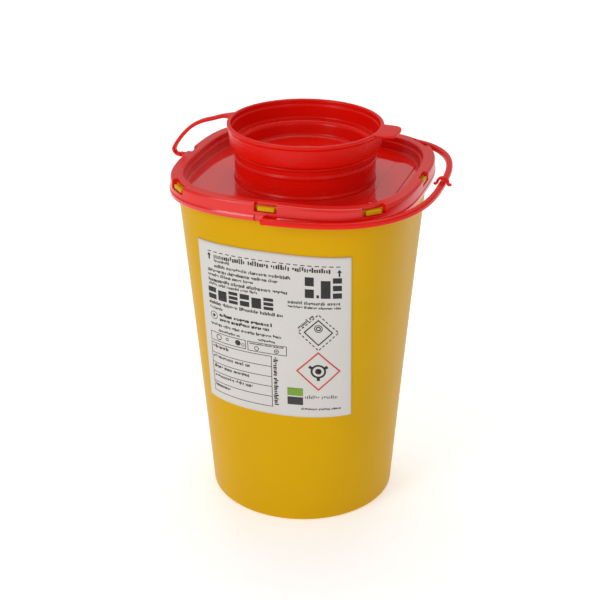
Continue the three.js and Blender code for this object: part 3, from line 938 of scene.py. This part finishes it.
def print_places(context, marks, lift):
    """Puts print coordinates on the bin's front: x from the arc length at the sheet's middle height,
    narrowed slightly towards the bottom as the sheet is."""
    s, wall = context.scene.container_label, context.scene.container_bin
    tall = LABEL_HIGH.z - LABEL_LOW.z
    across = np.linspace(0, s.drawn_half, 400)
    arc_points = on_front(wall, across, np.full(400, LABEL_HIGH.z - tall / 2), 0.0)
    arc = np.concatenate([[0], np.cumsum(np.linalg.norm(np.diff(arc_points, axis=0), axis=1))])
    u = marks[..., 0] * 0.001 - arc[-1]
    down = marks[..., 1] * 0.001
    x = np.sign(u) * np.interp(np.abs(u), arc, across)
    x = x * (1 - down / tall * s.narrowing / 2 / s.drawn_half)
    return on_front(wall, x, LABEL_HIGH.z - s.print_drop - down, lift)


def box_mark(u0, v0, u1, v1):
    """An upright box. A large one is made of strips, narrow enough to follow the curved paper."""
    strips = max(1, math.ceil((u1 - u0) / 0.9)) if v1 - v0 > 1 else 1
    edges = np.linspace(u0, u1, strips + 1)
    return np.array([[[a, v0], [b, v0], [b, v1], [a, v1]] for a, b in zip(edges[:-1], edges[1:])], float)


def stroke(start, end, wide):
    """A straight stroke with square ends."""
    start, end = np.array(start, float), np.array(end, float)
    ahead = (end - start) / np.linalg.norm(end - start)
    side = np.array([-ahead[1], ahead[0]]) * wide / 2
    return np.array([[start - side, end - side, end + side, start + side]])


def frame_mark(u0, v0, u1, v1, wide):
    return np.concatenate([
        box_mark(u0, v0, u1, v0 + wide), box_mark(u0, v1 - wide, u1, v1),
        box_mark(u0, v0 + wide, u0 + wide, v1 - wide), box_mark(u1 - wide, v0 + wide, u1, v1 - wide),
    ])


def ring_mark(centre, inner, outer, start=0.0, end=360.0, count=28):
    """An arc of a ring as short four-sided pieces."""
    angle = np.radians(np.linspace(start, end, count + 1))
    spoke = np.stack([np.cos(angle), -np.sin(angle)], -1)
    near, far = centre + inner * spoke, centre + outer * spoke
    return np.stack([near[:-1], far[:-1], far[1:], near[1:]], 1)


def diamond_mark(centre, reach, wide):
    """A square on its corner; its strokes' ends meet in points."""
    turn = np.array([[0, -1], [1, 0], [0, 1], [-1, 0]], float)
    far, near = centre + turn * reach, centre + turn * (reach - wide * math.sqrt(2))
    return np.stack([near, far, np.roll(far, -1, 0), np.roll(near, -1, 0)], 1)


def dashes(start, end, wide, count, filled=0.6):
    start, end = np.array(start, float), np.array(end, float)
    first = np.linspace(0, 1, count, endpoint=False) + (1 - filled) / 2 / count
    return np.concatenate([
        stroke(start + (end - start) * t, start + (end - start) * (t + filled / count), wide) for t in first
    ])


def greeked(dice, u0, v0, u1, v1, bold=0.6):
    """A line of print without letters: words of upright bars of uneven height."""
    tall = v1 - v0
    pitch = tall * 0.42
    count = max(2, int((u1 - u0) / pitch))
    left = u0 + np.arange(count) * (u1 - u0) / count
    space = np.zeros(count, bool)
    space[np.cumsum(dice.integers(7, 19, count)).clip(0, count - 1)] = True
    left = left[~space]
    top = v0 + tall * dice.choice([0.0, 0.22, 0.3, 0.3, 0.34], len(left))
    low = v1 - tall * dice.choice([0.0, 0.05, 0.1, 0.3], len(left))
    right = left + pitch * bold * dice.uniform(0.85, 1.5, len(left))
    corners = np.stack([np.stack([left, top], -1), np.stack([right, top], -1),
                        np.stack([right, low], -1), np.stack([left, low], -1)], 1)
    return corners


def heavy_blocks(cells, v0, v1):
    """Bold cells without letters: slabs split once, whole slabs and slabs split twice, by turns."""
    splits = ([(0, 0.42), (0.58, 1)], [(0.14, 1)], [(0, 0.26), (0.37, 0.63), (0.74, 1)])
    return np.concatenate([
        box_mark(u0, v0 + (v1 - v0) * start, u1, v0 + (v1 - v0) * end)
        for i, (u0, u1) in enumerate(cells) for start, end in splits[i % 3]
    ])


def turned_marks(marks, centre, degrees):
    angle = math.radians(degrees)
    turn = np.array([[math.cos(angle), math.sin(angle)], [-math.sin(angle), math.cos(angle)]])
    return centre + (marks - centre) @ turn


def print_marks():
    """All print by ink. Each entry is a stack of four-cornered marks."""
    dice = np.random.default_rng(8)
    line = lambda *box, bold=0.6: greeked(dice, *box, bold=bold)
    black = [
        dashes((7, 2.2), (62.5, 2.2), 0.35, 20),
        line(10.4, 2.9, 59.2, 5.1, bold=0.55),
        heavy_blocks([(6.5 + 4.98 * i, 10.5 + 4.98 * i) for i in range(6)], 18.0, 23.2),
        line(11.5, 28.9, 35.4, 30.5, bold=0.7),
        line(11.5, 31.0, 34.3, 32.6, bold=0.7),
        line(6.5, 33.9, 39.2, 35.3, bold=0.6),
        heavy_blocks([(48.1, 51.6), (54.3, 58.1), (59.0, 62.6)], 7.0, 15.9),
        box_mark(52.6, 14.5, 53.6, 15.8),
        diamond_mark(np.array([53.3, 31.1]), 5.9, 0.5),
        ring_mark(np.array([53.3, 29.3]), 0.55, 1.0, count=16),
        ring_mark(np.array([53.3, 29.3]), 1.35, 1.7, count=20),
        ring_mark(np.array([53.2, 48.7]), 0.0, 1.3, count=20),
        ring_mark(np.array([53.2, 48.7]), 2.3, 3.1, count=32),
    ]
    for turn in (30, 150, 270):
        spoke = np.array([math.cos(math.radians(turn)), -math.sin(math.radians(turn))])
        black += [stroke(np.array([53.2, 48.7]) + 3.0 * spoke, np.array([53.2, 48.7]) + 4.3 * spoke, 1.3)]
    for u, v in ((8.1, 2.8), (61.6, 3.4)):
        black += [box_mark(u - 0.35, v + 1.1, u + 0.35, v + 3.0),
                  np.array([[[u, v], [u, v], [u + 0.95, v + 1.3], [u - 0.95, v + 1.3]]], float)]
    corners = np.array([[0, -1], [1, 0], [0, 1], [-1, 0], [0, -1]], float) * 8.0 + [53.3, 31.1]
    for start, end in zip(corners[:-1], corners[1:]):
        black += [dashes(start, end, 0.42, 6)]
    grey = [
        line(10.4, 5.3, 18.2, 6.6),
        line(10.4, 7.4, 43.3, 8.9),
        line(7, 9.6, 38, 11.1),
        line(7, 11.6, 28, 13.0),
        line(7, 13.8, 42, 15.4),
        line(7, 15.8, 29.6, 17.1),
        line(6.5, 24.1, 40, 25.6),
        line(6.8, 26.5, 13.8, 27.8),
        ring_mark(np.array([8.6, 30.7]), 1.55, 1.8, count=24),
        ring_mark(np.array([8.6, 30.7]), 0.0, 0.7, count=14),
        line(10.4, 36.5, 21.3, 37.7),
        line(28.6, 36.5, 37, 37.7),
        frame_mark(6, 38.4, 23.2, 42.5, 0.28),
        frame_mark(24, 38.4, 40.6, 42.7, 0.28),
        line(25, 38.8, 39.6, 39.6),
        ring_mark(np.array([10.4, 40.4]), 1.0, 1.35, count=20),
        ring_mark(np.array([14.6, 40.2]), 0.4, 0.7, count=14),
        ring_mark(np.array([19.6, 40.4]), 0.0, 1.25, count=16),
        ring_mark(np.array([21.9, 40.8]), 0.5, 0.75, count=12),
        ring_mark(np.array([27.9, 41.2]), 0.7, 1.0, count=14),
        ring_mark(np.array([36.3, 41.2]), 0.7, 1.0, count=14),
        ring_mark(np.array([36.3, 41.2]), 0.0, 0.35, count=10),
        frame_mark(5.8, 43.5, 34.3, 66.9, 0.28),
        line(6.8, 44.2, 15.8, 45.8),
        line(6.8, 48.9, 25.4, 50.5),
        line(6.8, 53.6, 25, 55.2),
        line(6.8, 58.1, 26.5, 59.7),
        line(6.8, 62.7, 16.3, 64.3),
        line(41.3, 17.5, 62.7, 19.0),
        line(41.3, 19.6, 62.7, 20.7, bold=0.6),
        line(47.9, 59.9, 62, 61.6, bold=0.38),
        line(46.3, 65.8, 62.7, 66.9, bold=0.6),
        box_mark(40.6, 61.0, 47.0, 64.6),
        turned_marks(line(44.0, 25.5, 53.0, 27.1), np.array([48.5, 26.3]), -45),
        turned_marks(line(24.4, 54.4, 47.4, 56.4, bold=0.6), np.array([35.9, 55.4]), 90),
    ]
    for v in (48.3, 53.0, 57.5, 62.1):
        grey += [box_mark(5.9, v - 0.14, 34.2, v + 0.14)]
    signal = [diamond_mark(np.array([53.2, 48.7]), 9.0, 0.65)]
    green = [box_mark(40.6, 56.8, 47.0, 60.4)]
    return {"black": black, "grey": grey, "signal": signal, "green": green}


class AddLabel(bpy.types.Operator):
    """Label: a paper sheet on the bin's front with unlettered print in four inks"""
    bl_idname = "container.add_label"
    bl_label = "Add label"

    def execute(self, context):
        scene = context.scene
        s, wall, finish = scene.container_label, scene.container_bin, scene.container_finish
        across, down = np.meshgrid(np.linspace(-1, 1, 97), np.linspace(0, 1, 57))
        x = s.shift + across * (s.width - s.narrowing * down) / 2
        height = LABEL_HIGH.z - down * (LABEL_HIGH.z - LABEL_LOW.z)
        points = on_front(wall, x, height, 0.00003 + s.thick)
        index = np.arange(down.size).reshape(down.shape)
        faces = np.stack([index[:-1, :-1], index[1:, :-1], index[1:, 1:], index[:-1, 1:]], -1).reshape(-1, 4)
        sheet = add_object("label_sheet", points.reshape(-1, 3), faces.tolist(), label_paper(), "root",
                           "label_paper", ("label",))
        self.thicken(sheet, s.thick)
        for name, marks in print_marks().items():
            material = ink(f"label_ink_{name}", getattr(finish, name))
            self.print_ink(context, name, np.concatenate(marks), material)
        return {"FINISHED"}

    def thicken(self, piece, thick):
        wall = piece.modifiers.new("thickness", "SOLIDIFY")
        wall.thickness, wall.offset = thick, -1

    def print_ink(self, context, name, marks, material):
        """Each four-cornered mark is split along its length, so that it follows the curved paper, and
        wound the same way round."""
        edge_a, edge_b = marks[:, 1] - marks[:, 0], marks[:, 3] - marks[:, 0]
        diagonal = marks[:, 2] - marks[:, 0]
        turn = edge_a[:, 0] * diagonal[:, 1] - edge_a[:, 1] * diagonal[:, 0]
        turn += diagonal[:, 0] * edge_b[:, 1] - diagonal[:, 1] * edge_b[:, 0]
        marks = np.where((turn > 0)[:, None, None], marks, marks[:, ::-1])
        edge_a, edge_b = marks[:, 1] - marks[:, 0], marks[:, 3] - marks[:, 0]
        tall = np.linalg.norm(edge_b, axis=1) > np.linalg.norm(edge_a, axis=1)
        marks = np.where(tall[:, None, None], np.roll(marks, 1, axis=1), marks)
        long_side = np.linalg.norm(marks[:, 1] - marks[:, 0], axis=1)
        points, faces, start = [], [], 0
        for low, high, cuts in ((0, 1.6, 1), (1.6, 6, 4), (6, 80, 28)):
            chosen = marks[(long_side >= low) & (long_side < high)]
            if not len(chosen):
                continue
            t = np.linspace(0, 1, cuts + 1)[None, :, None]
            upper = chosen[:, None, 0] * (1 - t) + chosen[:, None, 1] * t
            lower = chosen[:, None, 3] * (1 - t) + chosen[:, None, 2] * t
            grid = np.stack([upper, lower], 2)
            index = start + np.arange(grid[..., 0].size).reshape(grid.shape[:3])
            near, far = index[:, :-1], index[:, 1:]
            quads = np.stack([near[..., 0], near[..., 1], far[..., 1], far[..., 0]], -1)
            faces.append(quads.reshape(-1, 4))
            points.append(grid.reshape(-1, 2))
            start += grid[..., 0].size
        lift = context.scene.container_label.thick + 0.00006
        places = print_places(context, np.vstack(points), lift)
        piece = add_object(f"label_print_{name}", places, np.vstack(faces).tolist(), material, "root",
                           "label_paper", ())
        self.thicken(piece, 0.00002)


# ---- studio ----

class AddStudio(bpy.types.Operator):
    """Studio: pale floor, white surroundings, soft boxes and the camera"""
    bl_idname = "container.add_studio"
    bl_label = "Add studio"

    def soft_box(self, name, degrees, distance, height, aim, wide, tall, power):
        """A rectangular area light at a bearing from the front, aimed at a height on the axis."""
        bearing = math.radians(degrees)
        place = Vector((distance * math.sin(bearing), -distance * math.cos(bearing), height))
        light = bpy.data.lights.new(name, "AREA")
        light.shape, light.size, light.size_y, light.energy = "RECTANGLE", wide, tall, power
        lamp = bpy.data.objects.new(name, light)
        lamp.location = place
        lamp.rotation_euler = (Vector((0, 0, aim)) - place).to_track_quat("-Z", "Y").to_euler()
        bpy.context.scene.collection.objects.link(lamp)

    def execute(self, context):
        s, scene = context.scene.container_studio, context.scene
        colour = scene.container_finish.floor
        recipe = Recipe("studio_floor", 0.85, 1.3, Emission_Strength=0.4)
        recipe.feed(recipe.shader.inputs["Emission Color"], (1, 1, 1, 1))
        cloud = recipe.noise(3, 2)
        recipe.finish(recipe.mixed(cloud.step(0.3, 0.7), tint(colour, 0.99), tint(colour, 1.0)))
        rings = np.linspace(0.001, 1, 24)[:, None] ** 1.5 * 4.0
        angle = even_angles(96)
        disc = np.stack([rings * np.cos(angle), rings * np.sin(angle), 0 * rings * angle - 0.0002], -1)
        index = np.arange(disc[..., 0].size).reshape(disc.shape[:2])
        after = np.roll(index, -1, 1)
        faces = np.stack([index[:-1], index[1:], after[1:], after[:-1]], -1).reshape(-1, 4).tolist()
        faces.append(index[0].tolist())
        floor = add_object("studio_floor", disc.reshape(-1, 3), faces, recipe.material, None, None, ())

        world = bpy.data.worlds.new("white_surround")
        world.use_nodes = True
        background = world.node_tree.nodes["Background"]
        background.inputs["Color"].default_value = (1, 1, 1, 1)
        background.inputs["Strength"].default_value = s.surround
        scene.world = world

        front = math.degrees(s.turn)
        self.soft_box("key_soft_box", front - 46, 1.1, 0.55, 0.1, 0.42, 0.8, s.key)
        self.soft_box("fill_soft_box", front + 30, 1.1, 0.55, 0.1, 0.2, 0.8, s.fill)
        self.soft_box("top_soft_box", front + 180, 0.5, 1.2, 0.1, 0.8, 0.8, s.top)

        camera = bpy.data.objects.new("camera", bpy.data.cameras.new("camera"))
        camera.data.lens, camera.data.sensor_width, camera.data.shift_x = s.lens, 36, -0.0067
        camera.data.clip_start = 0.01
        place = Matrix.Translation((s.distance * math.sin(s.turn), -s.distance * math.cos(s.turn), s.height))
        turn = Matrix.Rotation(s.turn, 4, "Z") @ Matrix.Rotation(math.pi / 2 - s.pitch, 4, "X")
        camera.matrix_world = place @ turn @ Matrix.Rotation(s.roll, 4, "Z")
        scene.collection.objects.link(camera)
        scene.camera = camera
        scene.view_settings.view_transform = "Standard"
        return {"FINISHED"}


OPERATORS = (AddBin, AddLid, AddLugs, AddDeckPanel, AddNeck, AddCap, AddStrap, AddHandle, AddLabel, AddStudio)


class ContainerPanel(bpy.types.Panel):
    """Sizes, colours and pieces of the container"""
    bl_idname = "VIEW3D_PT_container"
    bl_label = "Sharps container"
    bl_space_type = "VIEW_3D"
    bl_region_type = "UI"
    bl_category = "Container"

    def draw(self, context):
        for operator in OPERATORS:
            self.layout.operator(operator.bl_idname)
        for name, group in GROUPS.items():
            box = self.layout.box()
            for field in group.__annotations__:
                box.prop(getattr(context.scene, name), field)


def register():
    for kind in (*GROUPS.values(), *OPERATORS, ContainerPanel):
        bpy.utils.register_class(kind)
    for name, group in GROUPS.items():
        setattr(bpy.types.Scene, name, bpy.props.PointerProperty(type=group))


def unregister():
    for name in GROUPS:
        delattr(bpy.types.Scene, name)
    for kind in reversed((*GROUPS.values(), *OPERATORS, ContainerPanel)):
        bpy.utils.unregister_class(kind)


def main():
    register()
    for operator in OPERATORS:
        namespace, name = operator.bl_idname.split(".")
        getattr(getattr(bpy.ops, namespace), name)()


if __name__ == "__main__":
    main()
